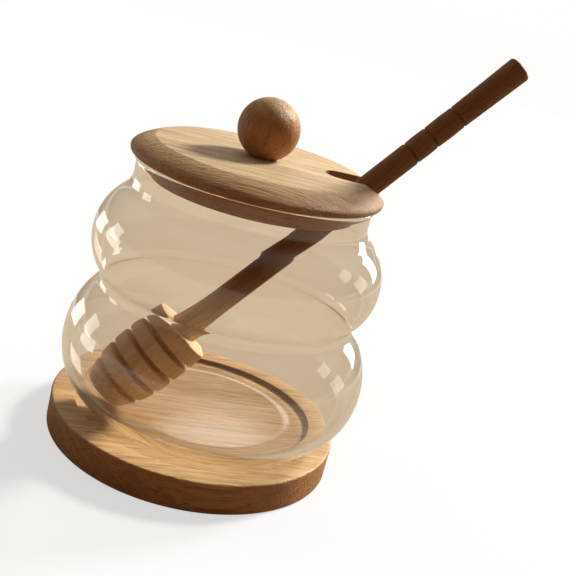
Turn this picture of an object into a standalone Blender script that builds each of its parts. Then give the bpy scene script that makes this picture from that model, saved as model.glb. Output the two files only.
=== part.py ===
"""Glass honey jar with a waisted body, a wooden lid with a ball knob, a dipper and a coaster.

Sizes are in metres and Z is up. The origin is the centre of the coaster's underside.
The jar stands a little off the coaster's centre. The slot in the lid opens towards +X,
and the dipper leans through it, from the floor of the jar to the rim.
"""

import math

import bpy
from mathutils import Euler, Vector

# Gap between pieces that touch
GAP = 0.0003

# Coaster, with a shallow recess that the jar stands in
COASTER_RADIUS = 0.0440
COASTER_THICKNESS = 0.0096
COASTER_EDGE = (0.0005, 0.0005)
RECESS_RADIUS = 0.0371
RECESS_DEPTH = 0.0017

# Glass body, with heights measured from its foot
JAR_OFFSET = 0.0020
JAR_HEIGHT = 0.0773
WALL = 0.0018
BASE_ARC = 0.0203
LOWER_BELLY_RADIUS = 0.0459
LOWER_BELLY_HEIGHT = 0.0208
LOWER_BELLY_ARC = 0.0242
WAIST_ARC = 0.0035
UPPER_BELLY_RADIUS = 0.0431
UPPER_BELLY_HEIGHT = 0.0533
UPPER_BELLY_ARC = 0.0167
NECK_RADIUS = 0.0347
NECK_ARC = 0.0073
RIM_RADIUS = 0.0353
RIM_FILLET = 0.0010

# Lid: a round board with a plug below it and a slot for the dipper
LID_RADIUS = 0.0371
LID_THICKNESS = 0.0057
LID_TOP_ROUND = (0.0066, 0.0042)
LID_BOTTOM_ROUND = (0.0014, 0.0014)
PLUG_RADIUS = 0.0301
PLUG_DEPTH = 0.0055
PLUG_EDGE = (0.0006, 0.0006)
SLOT_RADIUS = 0.0051
SLOT_INNER_END = 0.0188

# Knob: a ball with a small flat where it meets the lid
KNOB_RADIUS = 0.0090
KNOB_HEIGHT = 0.0169

# Dipper, with distances along it measured from its tip
DIPPER_LENGTH = 0.1548
DIPPER_LEAN = math.radians(40.2)
DIPPER_TURN = math.radians(11.2)
DIPPER_TIP = (-0.0286, -0.0119, 0.0144)
HEAD_LENGTH = 0.0304
HEAD_RADIUS = 0.01035
HEAD_WIDEST = 0.0170
HEAD_TIP_REACH = 0.0212
HEAD_TOP_REACH = 0.0445
HEAD_TIP_ROUND = (0.0010, 0.0010)
GROOVE_COUNT = 4
GROOVE_WIDTH = 0.0017
GROOVE_RADIUS = 0.0060
LOWEST_GROOVE = 0.0063
GROOVE_PITCH = 0.0061
NECK_END = 0.0460
NECK_FLARE_RADIUS = 0.0047
SHAFT_RADIUS = 0.00365
GRIP_RADIUS = 0.00350
HANDLE_END_RADIUS = 0.00390
HANDLE_END_ROUND = (0.0012, 0.0008)
RINGS = (0.1148, 0.1221, 0.1318)
RING_WIDTH = 0.0007
RING_DEPTH = 0.0004

# Segments around each turned piece
GLASS_SEGMENTS = 56
WOOD_SEGMENTS = 56
KNOB_SEGMENTS = 32
DIPPER_SEGMENTS = 20
SLOT_SEGMENTS = 32

# Steps along the curved stretches of the sections
NECK_STEPS = 4
UPPER_BELLY_STEPS = 9
WAIST_STEPS = 4
LOWER_BELLY_STEPS = 5
BASE_STEPS = 7
BEAD_STEPS = 8
LID_TOP_STEPS = 6
KNOB_STEPS = 13
FLARE_STEPS = 4
DISC_STEPS = 3
EDGE_STEPS = 3
SMALL_EDGE_STEPS = 2

# Points closer than this count as one, and faces that meet more sharply keep a hard edge
MERGE_DISTANCE = 0.00001
SHARP_ANGLE = math.radians(32.0)

# Heights of the pieces above the coaster's underside
FOOT_HEIGHT = COASTER_THICKNESS - RECESS_DEPTH + GAP
LID_HEIGHT = FOOT_HEIGHT + JAR_HEIGHT + GAP
KNOB_BASE = LID_HEIGHT + LID_THICKNESS + GAP

# Base colour, roughness and transmission of each piece
FINISHES = {
    "glass_jar": ((0.93, 0.95, 0.94), 0.03, 1.0),
    "lid": ((0.56, 0.38, 0.22), 0.55, 0.0),
    "knob": ((0.40, 0.20, 0.09), 0.45, 0.0),
    "dipper": ((0.30, 0.15, 0.07), 0.55, 0.0),
    "coaster": ((0.58, 0.37, 0.17), 0.50, 0.0),
}


def clear_scene():
    """Remove whatever objects the scene starts with."""
    for item in list(bpy.data.objects):
        bpy.data.objects.remove(item, do_unlink=True)


def new_collection(name):
    """A collection of its own, linked to the scene."""
    collection = bpy.data.collections.new(name)
    bpy.context.scene.collection.children.link(collection)
    return collection


def finish_for(name):
    """The material of one piece."""
    colour, roughness, transmission = FINISHES[name]
    material = bpy.data.materials.new(name + "_finish")
    material.use_nodes = True
    shader = material.node_tree.nodes["Principled BSDF"]
    shader.inputs["Base Color"].default_value = (*colour, 1.0)
    shader.inputs["Roughness"].default_value = roughness
    shader.inputs["Metallic"].default_value = 0.0
    shader.inputs["Transmission Weight"].default_value = transmission
    return material


def arc(centre, radius, start, end, steps):
    """Points along a circular arc in the profile plane, between two angles in degrees."""
    points = []
    for step in range(steps + 1):
        angle = math.radians(start + (end - start) * step / steps)
        points.append((centre.x + radius * math.cos(angle), centre.y + radius * math.sin(angle)))
    return points


def rounded_top(edge, size, steps):
    """Points from a flat top down a quarter-ellipse corner whose outer lines cross at edge."""
    width, height = size
    points = []
    for step in range(steps + 1):
        angle = math.radians(90.0 * (1.0 - step / steps))
        x = edge[0] - width + width * math.cos(angle)
        points.append((x, edge[1] - height + height * math.sin(angle)))
    return points


def rounded_bottom(edge, size, steps):
    """Points from an upright side down the same kind of corner to a flat underside."""
    flipped = rounded_top((edge[0], -edge[1]), size, steps)
    return [(x, -z) for x, z in reversed(flipped)]


def heading(start, end):
    """Angle in degrees of the direction from one arc centre to another."""
    return math.degrees(math.atan2(end.y - start.y, end.x - start.x))


def jar_centres():
    """Centres of the tangent arcs that make up the glass wall, as (radius, height) pairs."""
    lower = Vector((LOWER_BELLY_RADIUS - LOWER_BELLY_ARC, LOWER_BELLY_HEIGHT))
    upper = Vector((UPPER_BELLY_RADIUS - UPPER_BELLY_ARC, UPPER_BELLY_HEIGHT))

    drop = LOWER_BELLY_HEIGHT - BASE_ARC
    reach = math.sqrt((LOWER_BELLY_ARC - BASE_ARC) ** 2 - drop ** 2)
    base = Vector((lower.x + reach, BASE_ARC))

    apart = upper - lower
    to_lower = LOWER_BELLY_ARC + WAIST_ARC
    to_upper = UPPER_BELLY_ARC + WAIST_ARC
    along = (to_lower ** 2 - to_upper ** 2 + apart.length_squared) / (2.0 * apart.length)
    across = math.sqrt(to_lower ** 2 - along ** 2)
    forward = apart.normalized()
    outward = Vector((forward.y, -forward.x))
    waist = lower + forward * along + outward * across

    neck_x = NECK_RADIUS + NECK_ARC
    rise = math.sqrt((UPPER_BELLY_ARC + NECK_ARC) ** 2 - (neck_x - upper.x) ** 2)
    neck = Vector((neck_x, upper.y + rise))
    return base, lower, waist, upper, neck


def jar_wall(inset):
    """Points down the glass wall from neck to foot, this far inside its outer side."""
    base, lower, waist, upper, neck = jar_centres()
    neck_bottom = heading(neck, upper) % 360.0
    upper_top = heading(upper, neck)
    upper_bottom = heading(upper, waist)
    waist_top = heading(waist, upper) % 360.0
    waist_bottom = heading(waist, lower) % 360.0
    lower_top = heading(lower, waist)
    lower_bottom = heading(lower, base)
    points = arc(neck, NECK_ARC + inset, 180.0, neck_bottom, NECK_STEPS)
    points += arc(upper, UPPER_BELLY_ARC - inset, upper_top, upper_bottom, UPPER_BELLY_STEPS)[1:]
    points += arc(waist, WAIST_ARC + inset, waist_top, waist_bottom, WAIST_STEPS)[1:]
    points += arc(lower, LOWER_BELLY_ARC - inset, lower_top, lower_bottom, LOWER_BELLY_STEPS)[1:]
    points += arc(base, BASE_ARC - inset, lower_bottom, -90.0, BASE_STEPS)[1:]
    return points


def jar_profile():
    """Section of the glass: floor, inner wall, rim bead, outer wall and underside."""
    bead = (RIM_RADIUS - NECK_RADIUS + WALL) / 2.0
    bead_centre = Vector((RIM_RADIUS - bead, JAR_HEIGHT - bead))
    fillet_x = NECK_RADIUS + RIM_FILLET
    fall = math.sqrt((bead + RIM_FILLET) ** 2 - (fillet_x - bead_centre.x) ** 2)
    fillet_centre = Vector((fillet_x, bead_centre.y - fall))
    bead_end = heading(bead_centre, fillet_centre)
    fillet_start = heading(fillet_centre, bead_centre)

    inner = list(reversed(jar_wall(WALL)))
    rim = arc(bead_centre, bead, 180.0, bead_end, BEAD_STEPS)
    under_rim = arc(fillet_centre, RIM_FILLET, fillet_start, 180.0, SMALL_EDGE_STEPS)[1:]
    outer = jar_wall(0.0)
    return [(0.0, WALL)] + inner + rim + under_rim + outer + [(0.0, 0.0)]


def coaster_profile():
    """Section of the coaster: recess floor, raised border and flat underside."""
    floor = COASTER_THICKNESS - RECESS_DEPTH
    points = [(0.0, floor), (RECESS_RADIUS, floor)]
    points += [(RECESS_RADIUS, COASTER_THICKNESS)]
    points += rounded_top((COASTER_RADIUS, COASTER_THICKNESS), COASTER_EDGE, EDGE_STEPS)
    points += rounded_bottom((COASTER_RADIUS, 0.0), COASTER_EDGE, EDGE_STEPS)
    return points + [(0.0, 0.0)]


def lid_profile():
    """Section of the lid, with heights measured from its underside."""
    points = [(0.0, LID_THICKNESS)]
    points += rounded_top((LID_RADIUS, LID_THICKNESS), LID_TOP_ROUND, LID_TOP_STEPS)
    points += rounded_bottom((LID_RADIUS, 0.0), LID_BOTTOM_ROUND, EDGE_STEPS)
    points += [(PLUG_RADIUS, 0.0)]
    points += rounded_bottom((PLUG_RADIUS, -PLUG_DEPTH), PLUG_EDGE, SMALL_EDGE_STEPS)
    return points + [(0.0, -PLUG_DEPTH)]


def knob_profile():
    """Section of the ball, with heights measured from the flat it stands on."""
    centre = Vector((0.0, KNOB_HEIGHT - KNOB_RADIUS))
    flat_angle = -math.degrees(math.asin(centre.y / KNOB_RADIUS))
    points = [(0.0, KNOB_HEIGHT)]
    points += arc(centre, KNOB_RADIUS, 90.0, flat_angle, KNOB_STEPS)[1:]
    return points + [(0.0, 0.0)]


def head_radius(distance):
    """Radius of the dipper's egg-shaped head at a distance from its tip."""
    reach = HEAD_TIP_REACH if distance < HEAD_WIDEST else HEAD_TOP_REACH
    return HEAD_RADIUS * math.sqrt(1.0 - ((distance - HEAD_WIDEST) / reach) ** 2)


def handle_profile():
    """Section of the dipper's handle, from its end down to the top of the head."""
    points = [(0.0, DIPPER_LENGTH)]
    points += rounded_top((HANDLE_END_RADIUS, DIPPER_LENGTH), HANDLE_END_ROUND, EDGE_STEPS)
    for ring in reversed(RINGS):
        points += [(GRIP_RADIUS, ring + RING_WIDTH / 2.0)]
        points += [(GRIP_RADIUS - RING_DEPTH, ring)]
        points += [(GRIP_RADIUS, ring - RING_WIDTH / 2.0)]
    points += [(SHAFT_RADIUS, RINGS[0] - RING_WIDTH)]
    for step in range(FLARE_STEPS + 1):
        share = step / FLARE_STEPS
        radius = SHAFT_RADIUS + (NECK_FLARE_RADIUS - SHAFT_RADIUS) * share ** 2
        points += [(radius, NECK_END + (HEAD_LENGTH - NECK_END) * share)]
    return points


def head_profile():
    """Section of the dipper's head: stacked discs with deep grooves between them."""
    grooves = [LOWEST_GROOVE + GROOVE_PITCH * index for index in range(GROOVE_COUNT)]
    tops = [groove - GROOVE_WIDTH / 2.0 for groove in grooves] + [HEAD_LENGTH]
    bottoms = [HEAD_TIP_ROUND[1]] + [groove + GROOVE_WIDTH / 2.0 for groove in grooves]
    points = []
    for top, bottom in zip(reversed(tops), reversed(bottoms)):
        if top < HEAD_LENGTH:
            points += [(GROOVE_RADIUS, top)]
        for step in range(DISC_STEPS + 1):
            distance = top + (bottom - top) * step / DISC_STEPS
            points += [(head_radius(distance), distance)]
        if bottom > HEAD_TIP_ROUND[1]:
            points += [(GROOVE_RADIUS, bottom)]
    tip_edge = (head_radius(HEAD_TIP_ROUND[1]), 0.0)
    points += rounded_bottom(tip_edge, HEAD_TIP_ROUND, EDGE_STEPS)[1:]
    return points + [(0.0, 0.0)]


def turned(name, profile, segments, collection):
    """Turn a profile, which runs down its outer side, round the Z axis into a solid."""
    edges = [(index, index + 1) for index in range(len(profile) - 1)]
    outline = bpy.data.meshes.new(name + "_outline")
    outline.from_pydata([(x, 0.0, z) for x, z in profile], edges, [])
    guide = bpy.data.objects.new(name + "_outline", outline)
    bpy.context.scene.collection.objects.link(guide)
    screw = guide.modifiers.new("Turn", "SCREW")
    screw.axis = "Z"
    screw.angle = math.tau
    screw.steps = segments
    screw.render_steps = segments
    screw.use_merge_vertices = True
    screw.merge_threshold = MERGE_DISTANCE

    depsgraph = bpy.context.evaluated_depsgraph_get()
    mesh = bpy.data.meshes.new_from_object(guide.evaluated_get(depsgraph))
    bpy.data.objects.remove(guide, do_unlink=True)
    mesh.name = name
    mesh.shade_smooth()
    mesh.set_sharp_from_angle(angle=SHARP_ANGLE)
    mesh.materials.clear()
    mesh.materials.append(finish_for(name))
    piece = bpy.data.objects.new(name, mesh)
    collection.objects.link(piece)
    return piece


def make_coaster(collection):
    """The coaster, centred on the origin."""
    turned("coaster", coaster_profile(), WOOD_SEGMENTS, collection)


def make_glass(collection):
    """The glass body, standing in the coaster's recess."""
    glass = turned("glass_jar", jar_profile(), GLASS_SEGMENTS, collection)
    glass.location = (JAR_OFFSET, 0.0, FOOT_HEIGHT)


def slot_cutter(collection):
    """A round-ended block that runs from the slot's inner end out past the lid's edge."""
    height = 2.0 * (LID_THICKNESS + PLUG_DEPTH)
    inner_centre = SLOT_INNER_END + SLOT_RADIUS
    bpy.ops.mesh.primitive_cylinder_add(vertices=SLOT_SEGMENTS, radius=SLOT_RADIUS, depth=height)
    cutter = bpy.context.object
    cutter.name = "slot_cutter"
    for vertex in cutter.data.vertices:
        if vertex.co.x > MERGE_DISTANCE:
            vertex.co.x += LID_RADIUS
    cutter.location = (JAR_OFFSET + inner_centre, 0.0, LID_HEIGHT)
    cutter.hide_render = True
    cutter.display_type = "WIRE"
    for holder in list(cutter.users_collection):
        holder.objects.unlink(cutter)
    collection.objects.link(cutter)
    return cutter


def make_lid(collection, cutters):
    """The lid with its plug in the jar's mouth, cut through by the dipper's slot."""
    lid = turned("lid", lid_profile(), WOOD_SEGMENTS, collection)
    lid.location = (JAR_OFFSET, 0.0, LID_HEIGHT)
    cut = lid.modifiers.new("Slot", "BOOLEAN")
    cut.operation = "DIFFERENCE"
    cut.solver = "EXACT"
    cut.object = slot_cutter(cutters)


def make_knob(collection):
    """The ball knob on the middle of the lid."""
    knob = turned("knob", knob_profile(), KNOB_SEGMENTS, collection)
    knob.location = (JAR_OFFSET, 0.0, KNOB_BASE)


def make_dipper(collection):
    """The dipper, leaning from the floor of the jar out through the slot."""
    dipper = turned("dipper", handle_profile() + head_profile(), DIPPER_SEGMENTS, collection)
    dipper.rotation_euler = Euler((0.0, DIPPER_LEAN, DIPPER_TURN), "XYZ")
    dipper.location = DIPPER_TIP


def main():
    """Make every piece of the set."""
    clear_scene()
    parts = new_collection("glass_honey_jar")
    cutters = new_collection("cutters")
    make_coaster(parts)
    make_glass(parts)
    make_lid(parts, cutters)
    make_knob(parts)
    make_dipper(parts)


main()
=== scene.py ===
"""Looks of a glass honey jar with a wooden lid, a ball knob, a leaning dipper and a coaster.

Sizes are in metres and Z is up. The jar stands on its coaster, the slot in the lid opens
towards +X, and a low warm light comes from the right and a little from behind.
"""

import math

import bpy
from mathutils import Euler, Matrix, Quaternion, Vector, noise


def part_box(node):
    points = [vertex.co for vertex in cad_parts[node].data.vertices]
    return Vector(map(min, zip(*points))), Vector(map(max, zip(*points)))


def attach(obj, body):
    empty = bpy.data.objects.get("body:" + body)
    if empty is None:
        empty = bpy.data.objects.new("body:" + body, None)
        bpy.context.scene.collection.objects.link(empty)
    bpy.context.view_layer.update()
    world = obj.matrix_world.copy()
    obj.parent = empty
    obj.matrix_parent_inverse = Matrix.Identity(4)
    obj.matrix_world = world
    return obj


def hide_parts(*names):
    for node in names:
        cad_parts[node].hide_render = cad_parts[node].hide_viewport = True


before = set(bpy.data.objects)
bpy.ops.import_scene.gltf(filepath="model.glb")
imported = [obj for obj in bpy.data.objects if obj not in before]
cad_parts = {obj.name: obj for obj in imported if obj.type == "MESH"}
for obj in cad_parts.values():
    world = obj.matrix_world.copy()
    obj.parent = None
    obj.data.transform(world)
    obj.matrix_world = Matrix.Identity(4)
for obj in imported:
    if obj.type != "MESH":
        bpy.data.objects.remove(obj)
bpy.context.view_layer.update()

# Where the pieces stand, read from the frame
COASTER_LOW, COASTER_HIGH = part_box("coaster")
JAR_LOW, JAR_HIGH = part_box("glass_jar")
LID_LOW, LID_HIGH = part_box("lid")
KNOB_LOW, KNOB_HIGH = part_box("knob")
AXIS_X = (JAR_LOW.x + JAR_HIGH.x) / 2.0

# Coaster
COASTER_RADIUS = (COASTER_HIGH.x - COASTER_LOW.x) / 2.0
COASTER_THICKNESS = COASTER_HIGH.z - COASTER_LOW.z
COASTER_EDGE = (0.0007, 0.0007)
RECESS_RADIUS = 0.0371
RECESS_DEPTH = 0.0017
RECESS_EDGE = 0.0003

# Glass body, with heights measured from its foot
JAR_HEIGHT = JAR_HIGH.z - JAR_LOW.z
FOOT_WALL = 0.0020
WAIST_WALL = 0.0006
RIM_WALL = 0.0011
BASE_ARC = 0.0203
LOWER_BELLY_RADIUS = 0.0459
LOWER_BELLY_HEIGHT = 0.0208
LOWER_BELLY_ARC = 0.0242
WAIST_ARC = 0.0035
UPPER_BELLY_RADIUS = 0.0431
UPPER_BELLY_HEIGHT = 0.0533
UPPER_BELLY_ARC = 0.0167
NECK_RADIUS = 0.0347
NECK_ARC = 0.0073
RIM_RADIUS = 0.0353
RIM_FILLET = 0.0010
WAVINESS = 0.00006
WAVE_SIZE = 0.016

# Lid, with heights measured from its underside, and its crease in degrees
LID_RADIUS = (LID_HIGH.y - LID_LOW.y) / 2.0
PLUG_DEPTH = 0.0055
LID_THICKNESS = LID_HIGH.z - LID_LOW.z - PLUG_DEPTH
LID_HEIGHT = LID_LOW.z + PLUG_DEPTH
LID_TOP_ROUND = (0.0066, 0.0042)
LID_CREASE = 21.0
LID_BOTTOM_ROUND = (0.0014, 0.0014)
PLUG_RADIUS = 0.0301
PLUG_EDGE = (0.0006, 0.0006)
SLOT_RADIUS = 0.0051
SLOT_INNER_END = 0.0188

# Knob
KNOB_HEIGHT = KNOB_HIGH.z - KNOB_LOW.z
KNOB_RADIUS = 0.0090

# Dipper, with distances along it measured from its tip
DIPPER_LENGTH = 0.1548
DIPPER_LEAN = math.radians(40.2)
DIPPER_TURN = math.radians(11.2)
DIPPER_TIP = Vector((-0.0286, -0.0119, 0.0144))
HEAD_LENGTH = 0.0304
HEAD_RADIUS = 0.01035
HEAD_WIDEST = 0.0170
HEAD_TIP_REACH = 0.0212
HEAD_TOP_REACH = 0.0445
HEAD_TIP_ROUND = 0.0010
DISC_EDGE = 0.00035
GROOVE_COUNT = 4
GROOVE_WIDTH = 0.0017
GROOVE_RADIUS = 0.0060
LOWEST_GROOVE = 0.0063
GROOVE_PITCH = 0.0061
NECK_END = 0.0460
NECK_FLARE_RADIUS = 0.0047
SHAFT_RADIUS = 0.00355
GRIP_RADIUS = 0.00350
GRIP_SWELL = 0.00010
HANDLE_END_RADIUS = 0.00390
HANDLE_END_ROUND = (0.0012, 0.0008)
RINGS = (0.1148, 0.1221, 0.1318)
FAINT_RING = 0.1384
RING_WIDTH = 0.0007
RING_DEPTH = 0.0004
FAINT_RING_DEPTH = 0.00008

# Fineness of the pieces: segments round their axis, and steps along each part of a section
GLASS_SEGMENTS = 224
WOOD_SEGMENTS = 192
SMALL_SEGMENTS = 96
SLOT_SEGMENTS = 64
FLOOR_SEGMENTS = 128
NECK_STEPS = 12
UPPER_BELLY_STEPS = 30
WAIST_STEPS = 16
LOWER_BELLY_STEPS = 24
BASE_STEPS = 24
BEAD_STEPS = 20
RIM_FILLET_STEPS = 6
RECESS_EDGE_STEPS = 4
COASTER_EDGE_STEPS = 6
LID_TOP_STEPS = 20
LID_BOTTOM_STEPS = 8
PLUG_EDGE_STEPS = 4
KNOB_STEPS = 48
HANDLE_END_STEPS = 8
FLARE_STEPS = 12
DISC_STEPS = 8
DISC_EDGE_STEPS = 4
HEAD_TIP_STEPS = 6
MERGE_DISTANCE = 0.000001
SHARP_ANGLE = math.radians(40.0)

# Wood: how often each pattern repeats in a metre, along the grain and both ways across it,
# and its detail
STREAKS = ((34.0, 620.0, 620.0), 4.0)
FIBRES = ((110.0, 2600.0, 2600.0), 3.0)
CLOUDS = ((18.0, 60.0, 60.0), 2.0)
PORES = ((110.0, 2300.0, 2300.0), 1.0)
RING_STRETCH = (0.10, 1.0, 1.0)
RING_PHASE = 20.0
RING_DISTORTION = 4.0
RING_DETAIL = 3.0
RING_DETAIL_SCALE = 0.25

# Wood: how dark each pattern is at its levels, and how much of each is seen
RING_TONES = ((0.0, 0.0), (0.70, 0.35), (0.93, 1.0), (1.0, 0.1))
STREAK_TONES = ((0.40, 0.0), (0.50, 0.20), (0.62, 1.0))
FIBRE_TONES = ((0.40, 0.0), (0.60, 1.0))
PORE_TONES = ((0.60, 0.0), (0.68, 1.0))
CLOUD_TONES = ((0.32, 0.88), (0.68, 1.10))
STREAK_SHARE = 0.50
FIBRE_SHARE = 0.34
PORE_SHARE = (0.45, 0.45, 0.45)
PORE_DARKNESS = 0.55
# FLATTEST: the rise of a normal above which a wood gets no painted shade on its sides
FLATTEST = 0.995
FIBRE_GLOSS = -0.10
FIBRE_DULLNESS = 0.12
WOOD_SPECULAR = 0.35
GRAIN_RELIEF = 0.8
GRAIN_HEIGHT = 0.00015
GRAIN_NODE = "Grain"

# Painted shade: the lid's plug below the board and the dipper towards its handle, as if in shade
LID_PITH = 0.030
PLUG_PAINTED_SHADE = (1.15, 0.90, 0.42)
DIPPER_SHADE_SPAN = (0.029, 0.060)
HANDLE_PAINTED_SHADE = (0.25, 0.145, 0.055)

# Glass
GLASS_TINT = (0.988, 0.968, 0.938)
GLASS_IOR = 1.47
GLASS_OPEN_TINT = (0.95, 0.94, 0.92)
GLASS_DEPTH_COLOUR = (0.40, 0.32, 0.24)
GLASS_DENSITY = 38.0

# Camera: it looks down a little, and is rolled so that the jar leans to the left
CAMERA_PLACE = Vector((-0.01956, -0.27393, 0.14388))
CAMERA_AIM = Vector((0.01741, -0.01005, 0.05787))
CAMERA_ROLL = math.radians(14.73)
CAMERA_LENS = 60.5
CAMERA_CLIP = (0.01, 50.0)
SENSOR_WIDTH = 36.0

# Lamps: a low warm sun at the right and behind, and two windows, each with its name,
# direction, width and height, and power
KEY_DIRECTION = Vector((0.645, 0.504, 0.574))
KEY_ANGLE = math.radians(12.0)
KEY_POWER = 5.3
KEY_COLOUR = (1.0, 0.92, 0.80)
WINDOWS = (
    ("right_window", Vector((0.70, 0.66, 0.17)), (0.36, 0.62), 3.8),
    ("left_window", Vector((-0.93, 0.35, 0.10)), (0.36, 0.50), 2.5),
)
WINDOW_DISTANCE = 1.6
WINDOW_COLOUR = (1.0, 0.97, 0.93)

# Floor: its own colour and glow, and what it is to bounced light and in or through glass
FLOOR_RADIUS = 60.0
FLOOR_COLOUR = (0.29, 0.305, 0.335)
FLOOR_GLOW = (0.62, 0.62, 0.62)
FLOOR_BOUNCE = (0.19, 0.085, 0.027)
FLOOR_MIRRORED = (0.51, 0.455, 0.38)

# Sky: dim on the near side, bright above and behind, with a pale patch and a pale horizon
SKY_TOWARDS = Vector((0.25, 0.60, 0.76))
SKY_DIM = (0.12, 0.060, 0.024)
SKY_BRIGHT = (0.52, 0.48, 0.43)
SKY_STOPS = ((0.15, SKY_DIM), (0.85, SKY_BRIGHT))
VEIL_TOWARDS = Vector((0.09, 0.86, 0.51))
VEIL_REACH = math.radians(4.6)
VEIL_COLOUR = (4.2, 4.1, 4.0)
HORIZON = (0.93, 0.92, 0.91)
HORIZON_STOPS = ((0.03, 0.0), (0.09, 1.0))
BACKDROP = (1.0, 0.99, 0.975)

# Places of a colour Mix node's inputs and output, whose names aren't unique
MIX_FACTOR = 0
MIX_FIRST = 6
MIX_SECOND = 7
MIX_RESULT = 2


def set_inputs(tree, target, values):
    """Give a node's inputs, by name or by place, plain values or links from sockets."""
    for place, value in values.items():
        if isinstance(value, bpy.types.NodeSocket):
            tree.links.new(value, target.inputs[place])
        else:
            target.inputs[place].default_value = value


def node(tree, kind, inputs=None, **attributes):
    """Add a shader node with these inputs and attributes."""
    made = tree.nodes.new(kind)
    for key, value in attributes.items():
        setattr(made, key, value)
    set_inputs(tree, made, inputs or {})
    return made


def opaque(colour):
    """A colour with its alpha."""
    return (*colour, 1.0)


def ramp(tree, source, stops):
    """A colour ramp with these (position, grey or colour) stops."""
    made = node(tree, "ShaderNodeValToRGB", {"Fac": source})
    elements = made.color_ramp.elements
    while len(elements) < len(stops):
        elements.new(0.5)
    for element, (position, tone) in zip(elements, stops):
        element.position = position
        element.color = opaque(tone if isinstance(tone, tuple) else (tone, tone, tone))
    return made.outputs["Color"]


def mixed(tree, kind, factor, first, second):
    """Mix two colours, each a socket or a plain colour, by a socket or a plain factor."""
    made = node(tree, "ShaderNodeMix", data_type="RGBA", blend_type=kind)
    for place, value in ((MIX_FACTOR, factor), (MIX_FIRST, first), (MIX_SECOND, second)):
        set_inputs(tree, made, {place: opaque(value) if isinstance(value, tuple) else value})
    return made.outputs[MIX_RESULT]


def fade(tree, value, start, end):
    """A soft step from 0 at start to 1 at end."""
    limits = {"Value": value, "From Min": start, "From Max": end}
    made = node(tree, "ShaderNodeMapRange", limits, interpolation_type="SMOOTHSTEP")
    return made.outputs["Result"]


def part_along(tree, vector, axis):
    """The part of a vector along the X, Y or Z axis."""
    return node(tree, "ShaderNodeSeparateXYZ", {"Vector": vector}).outputs[axis]


def facing(tree, vector, direction):
    """How far a vector points in this direction: 1 along it, -1 away from it."""
    pair = {0: vector, 1: direction.normalized()}
    return node(tree, "ShaderNodeVectorMath", pair, operation="DOT_PRODUCT").outputs["Value"]


def stretched_noise(tree, coordinates, scale, detail):
    """Noise on coordinates that are scaled apart along X, Y and Z."""
    mapping = node(tree, "ShaderNodeMapping", {"Vector": coordinates, "Scale": scale})
    pattern = {"Vector": mapping.outputs["Vector"], "Scale": 1.0, "Detail": detail}
    return node(tree, "ShaderNodeTexNoise", pattern).outputs["Fac"]


def ring_pattern(tree, grain, ring_size):
    """Growth rings round the grain's X axis, ring_size apart and much longer than wide."""
    stretched = node(tree, "ShaderNodeMapping", {"Vector": grain, "Scale": RING_STRETCH})
    pattern = {
        "Vector": stretched.outputs["Vector"],
        "Scale": math.tau / (RING_PHASE * ring_size),
        "Distortion": RING_DISTORTION,
        "Detail": RING_DETAIL,
        "Detail Scale": RING_DETAIL_SCALE,
    }
    made = node(
        tree, "ShaderNodeTexWave", pattern,
        wave_type="RINGS", rings_direction="X", wave_profile="SAW",
    )
    return made.outputs["Fac"]


def new_material(name):
    """A new material, with its node tree and its shader."""
    material = bpy.data.materials.new(name)
    material.use_nodes = True
    return material, material.node_tree, material.node_tree.nodes["Principled BSDF"]


def wood(name, light, dark, side, steepest, turn, centre, ring_size, roughness):
    """Wood with rings, streaks, fibres and pores, whose grain runs along X after turn.

    The pith lies on a line through centre. The colour is multiplied by side, a painted shade
    on sides and rounded edges, where the normal's rise is below steepest, and stays as it is
    on a flat top.
    """
    material, tree, shader = new_material(name)
    place = node(tree, "ShaderNodeTexCoord").outputs["Object"]
    turned_place = node(
        tree, "ShaderNodeMapping", {"Vector": place, "Rotation": turn, "Location": centre},
        vector_type="TEXTURE", name=GRAIN_NODE,
    )
    grain = turned_place.outputs["Vector"]

    fibres = stretched_noise(tree, grain, *FIBRES)
    ring_tone = ramp(tree, ring_pattern(tree, grain, ring_size), RING_TONES)
    streak_tone = ramp(tree, stretched_noise(tree, grain, *STREAKS), STREAK_TONES)
    fibre_tone = ramp(tree, fibres, FIBRE_TONES)
    pore_tone = ramp(tree, stretched_noise(tree, grain, *PORES), PORE_TONES)
    cloud_tone = ramp(tree, stretched_noise(tree, grain, *CLOUDS), CLOUD_TONES)

    tone = mixed(tree, "MIX", STREAK_SHARE, ring_tone, streak_tone)
    tone = mixed(tree, "MIX", FIBRE_SHARE, tone, fibre_tone)
    colour = mixed(tree, "MIX", tone, light, dark)
    colour = mixed(tree, "MULTIPLY", 1.0, colour, cloud_tone)
    pore_share = mixed(tree, "MULTIPLY", 1.0, pore_tone, PORE_SHARE)
    pore_colour = tuple(PORE_DARKNESS * part for part in dark)
    colour = mixed(tree, "MIX", pore_share, colour, pore_colour)

    # Painted shade: sides and rounded edges, where the normal's rise is low, are multiplied by side
    normal = node(tree, "ShaderNodeNewGeometry").outputs["Normal"]
    flatness = fade(tree, part_along(tree, normal, "Z"), steepest, FLATTEST)
    shaded_colour = mixed(tree, "MULTIPLY", 1.0, colour, side)
    colour = mixed(tree, "MIX", flatness, shaded_colour, colour)

    gloss = {
        "Value": fibres,
        "To Min": roughness + FIBRE_GLOSS,
        "To Max": roughness + FIBRE_DULLNESS,
    }
    height = mixed(tree, "MIX", 0.5, streak_tone, fibre_tone)
    height = mixed(tree, "ADD", 1.0, height, pore_tone)
    relief = {"Height": height, "Strength": GRAIN_RELIEF, "Distance": GRAIN_HEIGHT}
    set_inputs(tree, shader, {
        "Base Color": colour,
        "Roughness": node(tree, "ShaderNodeMapRange", gloss).outputs["Result"],
        "Specular IOR Level": WOOD_SPECULAR,
        "Normal": node(tree, "ShaderNodeBump", relief, invert=True).outputs["Normal"],
    })
    return material


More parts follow.
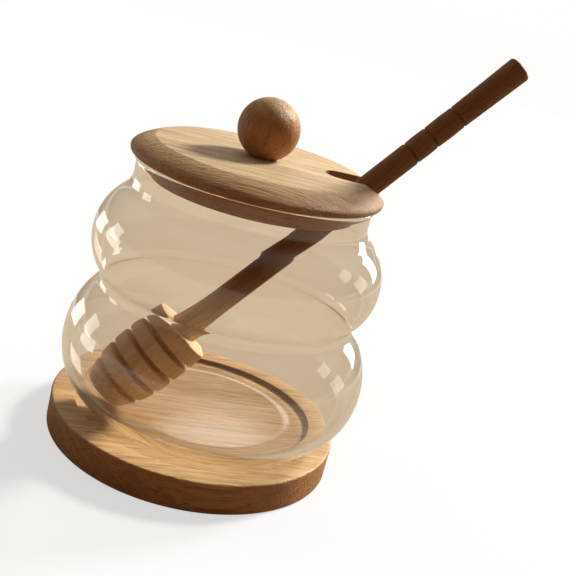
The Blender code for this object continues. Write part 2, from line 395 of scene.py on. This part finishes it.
def paint_shade_along(material, axis, start, end, factor):
    """Paint shade: multiply a wood's colour by factor, softly from start to end along a grain axis.
    """
    tree = material.node_tree
    base_colour = tree.nodes["Principled BSDF"].inputs["Base Color"]
    colour = base_colour.links[0].from_socket
    grain = tree.nodes[GRAIN_NODE].outputs["Vector"]
    share = fade(tree, part_along(tree, grain, axis), start, end)
    shaded_colour = mixed(tree, "MULTIPLY", 1.0, colour, factor)
    tree.links.new(mixed(tree, "MIX", share, colour, shaded_colour), base_colour)


def show_to_rays(tree, shown, choices):
    """Show a shader, but another one to each kind of ray in the (kind, shader) choices."""
    path = node(tree, "ShaderNodeLightPath")
    for ray, other in choices:
        either = {"Fac": path.outputs[ray], 1: shown, 2: other}
        shown = node(tree, "ShaderNodeMixShader", either).outputs["Shader"]
    tree.links.new(shown, tree.nodes["Material Output"].inputs["Surface"])


def clear_glass():
    """Clear glass with a warm depth. Shadow rays and reflected rays go straight through it."""
    material, tree, shader = new_material("clear_glass")
    set_inputs(tree, shader, {
        "Base Color": opaque(GLASS_TINT),
        "Roughness": 0.0,
        "IOR": GLASS_IOR,
        "Transmission Weight": 1.0,
    })
    open_way = node(tree, "ShaderNodeBsdfTransparent", {"Color": opaque(GLASS_OPEN_TINT)})
    open_way = open_way.outputs["BSDF"]
    choices = (("Is Reflection Ray", open_way), ("Is Shadow Ray", open_way))
    show_to_rays(tree, shader.outputs["BSDF"], choices)
    absorption = {"Color": opaque(GLASS_DEPTH_COLOUR), "Density": GLASS_DENSITY}
    depth = node(tree, "ShaderNodeVolumeAbsorption", absorption)
    tree.links.new(depth.outputs["Volume"], tree.nodes["Material Output"].inputs["Volume"])
    return material


def floor_finish():
    """A pale matt floor that throws dim warm light back and looks warmer in or through glass."""
    material, tree, shader = new_material("floor_pale")
    set_inputs(tree, shader, {
        "Base Color": opaque(FLOOR_COLOUR),
        "Roughness": 1.0,
        "Specular IOR Level": 0.0,
        "Emission Color": opaque(FLOOR_GLOW),
        "Emission Strength": 1.0,
    })
    choices = []
    for ray, colour in (("Is Diffuse Ray", FLOOR_BOUNCE), ("Is Glossy Ray", FLOOR_MIRRORED)):
        bounce = node(tree, "ShaderNodeBsdfDiffuse", {"Color": opaque(colour)})
        choices.append((ray, bounce.outputs["BSDF"]))
    show_to_rays(tree, shader.outputs["BSDF"], choices)
    return material


def arc(centre, radius, start, end, steps):
    """Points along a circular arc in the profile plane, between two angles in degrees."""
    points = []
    for step in range(steps + 1):
        angle = math.radians(start + (end - start) * step / steps)
        points.append((centre.x + radius * math.cos(angle), centre.y + radius * math.sin(angle)))
    return points


def rounded_top(edge, size, steps):
    """Points from a flat top down a quarter-ellipse corner whose outer lines cross at edge."""
    width, height = size
    points = []
    for step in range(steps + 1):
        angle = math.radians(90.0 * (1.0 - step / steps))
        x = edge[0] - width + width * math.cos(angle)
        points.append((x, edge[1] - height + height * math.sin(angle)))
    return points


def rounded_bottom(edge, size, steps):
    """Points from an upright side down the same kind of corner to a flat underside."""
    flipped = rounded_top((edge[0], -edge[1]), size, steps)
    return [(x, -z) for x, z in reversed(flipped)]


def creased_top(edge, size, crease, steps):
    """Points from a flat top down a rounded corner that begins at a crease of this many degrees."""
    width, height = size
    first = Vector((edge[0] - width, edge[1]))
    middle = Vector((edge[0], edge[1] - width * math.tan(math.radians(crease))))
    last = Vector((edge[0], edge[1] - height))
    points = []
    for step in range(steps + 1):
        share = step / steps
        point = first.lerp(middle, share).lerp(middle.lerp(last, share), share)
        points.append((point.x, point.y))
    return points


def heading(start, end):
    """Angle in degrees of the direction from one arc centre to another."""
    return math.degrees(math.atan2(end.y - start.y, end.x - start.x))


def jar_centres():
    """Centres of the tangent arcs that make up the glass wall, as (radius, height) pairs."""
    lower = Vector((LOWER_BELLY_RADIUS - LOWER_BELLY_ARC, LOWER_BELLY_HEIGHT))
    upper = Vector((UPPER_BELLY_RADIUS - UPPER_BELLY_ARC, UPPER_BELLY_HEIGHT))

    drop = LOWER_BELLY_HEIGHT - BASE_ARC
    reach = math.sqrt((LOWER_BELLY_ARC - BASE_ARC) ** 2 - drop ** 2)
    base = Vector((lower.x + reach, BASE_ARC))

    apart = upper - lower
    to_lower = LOWER_BELLY_ARC + WAIST_ARC
    to_upper = UPPER_BELLY_ARC + WAIST_ARC
    along = (to_lower ** 2 - to_upper ** 2 + apart.length_squared) / (2.0 * apart.length)
    across = math.sqrt(to_lower ** 2 - along ** 2)
    forward = apart.normalized()
    outward = Vector((forward.y, -forward.x))
    waist = lower + forward * along + outward * across

    neck_x = NECK_RADIUS + NECK_ARC
    rise = math.sqrt((UPPER_BELLY_ARC + NECK_ARC) ** 2 - (neck_x - upper.x) ** 2)
    neck = Vector((neck_x, upper.y + rise))
    return base, lower, waist, upper, neck


def wall_at(height, waist):
    """Thickness of the glass at a height, thinnest at the height of the waist, as it is blown."""
    thickest, end = (RIM_WALL, JAR_HEIGHT) if height > waist else (FOOT_WALL, 0.0)
    share = (height - waist) / (end - waist)
    return WAIST_WALL + (thickest - WAIST_WALL) * share * share


def jar_wall(inner):
    """Points down the glass wall from neck to foot, on its outer or its inner side."""
    base, lower, waist, upper, neck = jar_centres()
    to_neck, from_upper = heading(upper, neck), heading(neck, upper) % 360.0
    to_waist, from_waist = heading(upper, waist), heading(waist, upper) % 360.0
    to_lower, from_lower = heading(waist, lower) % 360.0, heading(lower, waist)
    to_base = heading(lower, base)
    outward, inward = 1.0, -1.0
    arcs = (
        (neck, NECK_ARC, 180.0, from_upper, NECK_STEPS, inward),
        (upper, UPPER_BELLY_ARC, to_neck, to_waist, UPPER_BELLY_STEPS, outward),
        (waist, WAIST_ARC, from_waist, to_lower, WAIST_STEPS, inward),
        (lower, LOWER_BELLY_ARC, from_lower, to_base, LOWER_BELLY_STEPS, outward),
        (base, BASE_ARC, to_base, -90.0, BASE_STEPS, outward),
    )
    points = []
    for centre, radius, start, end, steps, bulge in arcs:
        for step in range(1 if points else 0, steps + 1):
            angle = math.radians(start + (end - start) * step / steps)
            away = Vector((math.cos(angle), math.sin(angle)))
            inset = wall_at(centre.y + radius * away.y, waist.y) if inner else 0.0
            point = centre + away * (radius - bulge * inset)
            points.append((point.x, point.y))
    return points


def jar_profile():
    """Section of the glass: floor, inner wall, rim bead, outer wall and underside."""
    bead = (RIM_RADIUS - NECK_RADIUS + RIM_WALL) / 2.0
    bead_centre = Vector((RIM_RADIUS - bead, JAR_HEIGHT - bead))
    fillet_x = NECK_RADIUS + RIM_FILLET
    fall = math.sqrt((bead + RIM_FILLET) ** 2 - (fillet_x - bead_centre.x) ** 2)
    fillet_centre = Vector((fillet_x, bead_centre.y - fall))
    bead_end = heading(bead_centre, fillet_centre)
    fillet_start = heading(fillet_centre, bead_centre)

    inner = list(reversed(jar_wall(True)))
    rim = arc(bead_centre, bead, 180.0, bead_end, BEAD_STEPS)
    under_rim = arc(fillet_centre, RIM_FILLET, fillet_start, 180.0, RIM_FILLET_STEPS)[1:]
    return [(0.0, FOOT_WALL)] + inner + rim + under_rim + jar_wall(False) + [(0.0, 0.0)]


def coaster_profile():
    """Section of the coaster: recess floor, raised border and flat underside."""
    floor = COASTER_THICKNESS - RECESS_DEPTH
    inner = Vector((RECESS_RADIUS + RECESS_EDGE, COASTER_THICKNESS - RECESS_EDGE))
    top = (COASTER_RADIUS, COASTER_THICKNESS)
    points = [(0.0, floor), (RECESS_RADIUS, floor)]
    points += arc(inner, RECESS_EDGE, 180.0, 90.0, RECESS_EDGE_STEPS)
    points += rounded_top(top, COASTER_EDGE, COASTER_EDGE_STEPS)
    points += rounded_bottom((COASTER_RADIUS, 0.0), COASTER_EDGE, COASTER_EDGE_STEPS)
    return points + [(0.0, 0.0)]


def lid_profile():
    """Section of the lid: board with a creased top edge, and the plug below it."""
    top = (LID_RADIUS, LID_THICKNESS)
    points = [(0.0, LID_THICKNESS)]
    points += creased_top(top, LID_TOP_ROUND, LID_CREASE, LID_TOP_STEPS)
    points += rounded_bottom((LID_RADIUS, 0.0), LID_BOTTOM_ROUND, LID_BOTTOM_STEPS)
    points += [(PLUG_RADIUS, 0.0)]
    points += rounded_bottom((PLUG_RADIUS, -PLUG_DEPTH), PLUG_EDGE, PLUG_EDGE_STEPS)
    return points + [(0.0, -PLUG_DEPTH)]


def knob_profile():
    """Section of the ball, with heights measured from the flat it stands on."""
    centre = Vector((0.0, KNOB_HEIGHT - KNOB_RADIUS))
    flat_angle = -math.degrees(math.asin(centre.y / KNOB_RADIUS))
    ball = arc(centre, KNOB_RADIUS, 90.0, flat_angle, KNOB_STEPS)[1:]
    return [(0.0, KNOB_HEIGHT)] + ball + [(0.0, 0.0)]


def head_radius(distance):
    """Radius of the dipper's egg-shaped head at a distance from its tip."""
    reach = HEAD_TIP_REACH if distance < HEAD_WIDEST else HEAD_TOP_REACH
    return HEAD_RADIUS * math.sqrt(1.0 - ((distance - HEAD_WIDEST) / reach) ** 2)


def ring_points(ring, depth, radius):
    """A small V groove round the handle, from its upper edge to its lower one."""
    half = RING_WIDTH / 2.0
    return [(radius, ring + half), (radius - depth, ring), (radius, ring - half)]


def handle_profile():
    """Section of the dipper's handle, from its end down to the top of the head."""
    end = (HANDLE_END_RADIUS, DIPPER_LENGTH)
    points = [(0.0, DIPPER_LENGTH)]
    points += rounded_top(end, HANDLE_END_ROUND, HANDLE_END_STEPS)
    taper = (FAINT_RING - RINGS[-1]) / (DIPPER_LENGTH - RINGS[-1])
    faint_radius = GRIP_RADIUS + (HANDLE_END_RADIUS - GRIP_RADIUS) * taper
    points += ring_points(FAINT_RING, FAINT_RING_DEPTH, faint_radius)
    for upper, lower in zip(RINGS[:0:-1], RINGS[-2::-1]):
        points += ring_points(upper, RING_DEPTH, GRIP_RADIUS)
        points += [(GRIP_RADIUS + GRIP_SWELL, (upper + lower) / 2.0)]
    points += ring_points(RINGS[0], RING_DEPTH, GRIP_RADIUS)
    points += [(SHAFT_RADIUS, RINGS[0] - RING_WIDTH)]
    for step in range(FLARE_STEPS + 1):
        share = step / FLARE_STEPS
        radius = SHAFT_RADIUS + (NECK_FLARE_RADIUS - SHAFT_RADIUS) * share ** 2
        points += [(radius, NECK_END + (HEAD_LENGTH - NECK_END) * share)]
    return points


def disc_points(top, bottom, first, last):
    """Points down one disc of the head: upper face edge, outer side, lower face edge."""
    edge = (DISC_EDGE, DISC_EDGE)
    points = [] if first else [(GROOVE_RADIUS, top)]
    points += rounded_top((head_radius(top), top), edge, DISC_EDGE_STEPS)
    for step in range(1, DISC_STEPS):
        distance = top - DISC_EDGE + (bottom - top + 2.0 * DISC_EDGE) * step / DISC_STEPS
        points += [(head_radius(distance), distance)]
    if last:
        tip_edge = (head_radius(HEAD_TIP_ROUND), 0.0)
        return points + rounded_bottom(tip_edge, (HEAD_TIP_ROUND, HEAD_TIP_ROUND), HEAD_TIP_STEPS)
    points += rounded_bottom((head_radius(bottom), bottom), edge, DISC_EDGE_STEPS)
    return points + [(GROOVE_RADIUS, bottom)]


def head_profile():
    """Section of the dipper's head: stacked discs with deep grooves between them."""
    grooves = [LOWEST_GROOVE + GROOVE_PITCH * index for index in range(GROOVE_COUNT)]
    tops = [groove - GROOVE_WIDTH / 2.0 for groove in grooves] + [HEAD_LENGTH]
    bottoms = [HEAD_TIP_ROUND] + [groove + GROOVE_WIDTH / 2.0 for groove in grooves]
    points = []
    for index, (top, bottom) in enumerate(zip(reversed(tops), reversed(bottoms))):
        points += disc_points(top, bottom, index == 0, index == GROOVE_COUNT)
    return points + [(0.0, 0.0)]


def linked(name, data):
    """A new object for a mesh, a lamp or a camera, in the scene."""
    made = bpy.data.objects.new(name, data)
    bpy.context.scene.collection.objects.link(made)
    return made


def evaluated_mesh(piece):
    """The mesh that an object's modifiers give."""
    depsgraph = bpy.context.evaluated_depsgraph_get()
    return bpy.data.meshes.new_from_object(piece.evaluated_get(depsgraph))


def smooth(mesh):
    """Shade smooth, except across edges that turn sharply."""
    mesh.shade_smooth()
    mesh.set_sharp_from_angle(angle=SHARP_ANGLE)


def turned(name, profile, segments, material):
    """Turn a profile, which runs down its outer side, round the Z axis into a solid."""
    edges = [(index, index + 1) for index in range(len(profile) - 1)]
    outline = bpy.data.meshes.new(name + "_outline")
    outline.from_pydata([(x, 0.0, z) for x, z in profile], edges, [])
    guide = linked(name + "_outline", outline)
    screw = guide.modifiers.new("Turn", "SCREW")
    screw.axis = "Z"
    screw.angle = math.tau
    screw.steps = segments
    screw.render_steps = segments
    screw.use_merge_vertices = True
    screw.merge_threshold = MERGE_DISTANCE
    mesh = evaluated_mesh(guide)
    bpy.data.objects.remove(guide, do_unlink=True)
    mesh.name = name
    smooth(mesh)
    mesh.materials.clear()
    mesh.materials.append(material)
    return linked(name, mesh)


def stands_for(piece, cad_node):
    """The piece rides on the jar's one body and is shown in place of a CAD node."""
    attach(piece, "root")
    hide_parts(cad_node)


def make_coaster():
    """The coaster, with its grain nearly along X and painted shade on its sides."""
    finish = wood(
        "coaster_wood", light=(0.82, 0.58, 0.33), dark=(0.48, 0.29, 0.13),
        side=(0.63, 0.45, 0.29), steepest=0.60, turn=(0.0, 0.0, math.radians(8.0)),
        centre=(0.0, 0.012, -0.055), ring_size=0.0042, roughness=0.45,
    )
    coaster = turned("coaster_board", coaster_profile(), WOOD_SEGMENTS, finish)
    coaster.location = (0.0, 0.0, COASTER_LOW.z)
    stands_for(coaster, "coaster")


def make_glass():
    """The blown glass, with a slight unevenness in its walls."""
    glass = turned("glass_body", jar_profile(), GLASS_SEGMENTS, clear_glass())
    for vertex in glass.data.vertices:
        offset = noise.noise(vertex.co / WAVE_SIZE) * WAVINESS
        side = Vector((vertex.co.x, vertex.co.y, 0.0))
        if side.length > PLUG_RADIUS:
            vertex.co += side.normalized() * offset
    glass.location = (AXIS_X, 0.0, JAR_LOW.z)
    stands_for(glass, "glass_jar")


def slot_cutter():
    """A round-ended block that runs from the slot's inner end out past the lid's edge."""
    height = 2.0 * (LID_THICKNESS + PLUG_DEPTH)
    bpy.ops.mesh.primitive_cylinder_add(vertices=SLOT_SEGMENTS, radius=SLOT_RADIUS, depth=height)
    cutter = bpy.context.object
    for vertex in cutter.data.vertices:
        if vertex.co.x > MERGE_DISTANCE:
            vertex.co.x += LID_RADIUS
    cutter.location = (SLOT_INNER_END + SLOT_RADIUS, 0.0, 0.0)
    return cutter


def make_lid():
    """The lid with plug and slot, painted shade on its edge and warmer painted shade below the
    board.
    """
    finish = wood(
        "lid_wood", light=(0.75, 0.59, 0.39), dark=(0.48, 0.33, 0.18),
        side=(0.60, 0.46, 0.33), steepest=0.88, turn=(0.0, 0.0, math.radians(-4.0)),
        centre=(0.0, -0.010, LID_PITH), ring_size=0.0036, roughness=0.50,
    )
    paint_shade_along(finish, "Z", -LID_PITH, -LID_PITH - LID_BOTTOM_ROUND[1], PLUG_PAINTED_SHADE)
    lid = turned("lid_board", lid_profile(), WOOD_SEGMENTS, finish)
    cutter = slot_cutter()
    cut = lid.modifiers.new("Slot", "BOOLEAN")
    cut.operation = "DIFFERENCE"
    cut.solver = "EXACT"
    cut.object = cutter
    mesh = evaluated_mesh(lid)
    lid.modifiers.clear()
    lid.data = mesh
    smooth(mesh)
    bpy.data.objects.remove(cutter, do_unlink=True)
    lid.location = (AXIS_X, 0.0, LID_HEIGHT)
    stands_for(lid, "lid")


def make_knob():
    """The ball knob, turned from wood with its grain nearly upright, and painted shade below its
    top.
    """
    finish = wood(
        "knob_wood", light=(0.62, 0.42, 0.22), dark=(0.40, 0.23, 0.09),
        side=(0.66, 0.42, 0.21), steepest=0.30, turn=(0.0, math.radians(-80.0), 0.0),
        centre=(0.010, 0.004, 0.0), ring_size=0.0030, roughness=0.42,
    )
    knob = turned("knob_ball", knob_profile(), SMALL_SEGMENTS, finish)
    knob.location = (AXIS_X, 0.0, KNOB_LOW.z)
    stands_for(knob, "knob")


def make_dipper():
    """The dipper, leaning from the floor of the jar out through the slot, with painted shade."""
    # Pale colours: partly the wood's own, partly painted light to brighten the inside of the jar
    finish = wood(
        "dipper_wood", light=(0.97, 0.80, 0.59), dark=(0.76, 0.52, 0.31),
        side=(0.95, 0.87, 0.74), steepest=0.30,
        turn=(0.0, DIPPER_LEAN - math.pi / 2.0, DIPPER_TURN),
        centre=DIPPER_TIP, ring_size=0.0026, roughness=0.52,
    )
    # Painted shade: the dipper darkens towards its handle as if that end were in shade
    paint_shade_along(finish, "X", *DIPPER_SHADE_SPAN, HANDLE_PAINTED_SHADE)
    profile = handle_profile() + head_profile()
    dipper = turned("dipper_stick", profile, SMALL_SEGMENTS, finish)
    lean = Euler((0.0, DIPPER_LEAN, DIPPER_TURN), "XYZ").to_matrix().to_4x4()
    dipper.data.transform(Matrix.Translation(DIPPER_TIP) @ lean)
    stands_for(dipper, "dipper")


def make_floor():
    """A wide pale floor."""
    bpy.ops.mesh.primitive_circle_add(
        vertices=FLOOR_SEGMENTS, radius=FLOOR_RADIUS, fill_type="NGON",
    )
    floor = bpy.context.object
    floor.name = "floor"
    floor.data.materials.append(floor_finish())


def shining_from(direction):
    """The rotation of a lamp that shines from this direction."""
    return (-direction).to_track_quat("-Z", "Y").to_euler()


def make_window(name, direction, size, power):
    """An oblong lamp, width by height, that faces the jar and shows in its glass."""
    lamp = bpy.data.lights.new(name, "AREA")
    lamp.shape = "RECTANGLE"
    lamp.size, lamp.size_y = size
    lamp.energy = power
    lamp.color = WINDOW_COLOUR
    holder = linked(name, lamp)
    middle = Vector((AXIS_X, 0.0, JAR_HEIGHT / 2.0))
    holder.location = middle + direction.normalized() * WINDOW_DISTANCE
    holder.rotation_euler = shining_from(direction)
    holder.visible_camera = False


def make_lights():
    """One warm low sun and two dim soft lights that the glass reflects."""
    sun = bpy.data.lights.new("key", "SUN")
    sun.angle = KEY_ANGLE
    sun.energy = KEY_POWER
    sun.color = KEY_COLOUR
    sun.cycles.use_multiple_importance_sampling = False
    linked("key", sun).rotation_euler = shining_from(KEY_DIRECTION)
    for window in WINDOWS:
        make_window(*window)


def make_world():
    """A sky for light and reflections, and a plain backdrop for the camera.

    The jar's floor reflects the pale patch as a veil.
    """
    world = bpy.data.worlds.new("studio")
    world.use_nodes = True
    bpy.context.scene.world = world
    tree = world.node_tree
    place = node(tree, "ShaderNodeTexCoord").outputs["Generated"]
    sky = ramp(tree, facing(tree, place, SKY_TOWARDS), SKY_STOPS)
    rise = ramp(tree, part_along(tree, place, "Z"), HORIZON_STOPS)
    colour = mixed(tree, "MIX", rise, HORIZON, sky)
    veil = fade(tree, facing(tree, place, VEIL_TOWARDS), math.cos(VEIL_REACH), 1.0)
    colour = mixed(tree, "MIX", veil, colour, VEIL_COLOUR)
    path = node(tree, "ShaderNodeLightPath")
    colour = mixed(tree, "MIX", path.outputs["Is Camera Ray"], colour, BACKDROP)
    tree.links.new(colour, tree.nodes["Background"].inputs["Color"])


def make_camera():
    """The camera, rolled about its line of sight."""
    lens = bpy.data.cameras.new("camera")
    lens.sensor_width = SENSOR_WIDTH
    lens.lens = CAMERA_LENS
    lens.clip_start, lens.clip_end = CAMERA_CLIP
    camera = linked("camera", lens)
    camera.location = CAMERA_PLACE
    sight = (CAMERA_AIM - CAMERA_PLACE).to_track_quat("-Z", "Y")
    camera.rotation_euler = (sight @ Quaternion((0.0, 0.0, 1.0), CAMERA_ROLL)).to_euler()
    bpy.context.scene.camera = camera


make_coaster()
make_glass()
make_lid()
make_knob()
make_dipper()
make_floor()
make_lights()
make_world()
make_camera()
bpy.context.scene.view_settings.view_transform = "Standard"
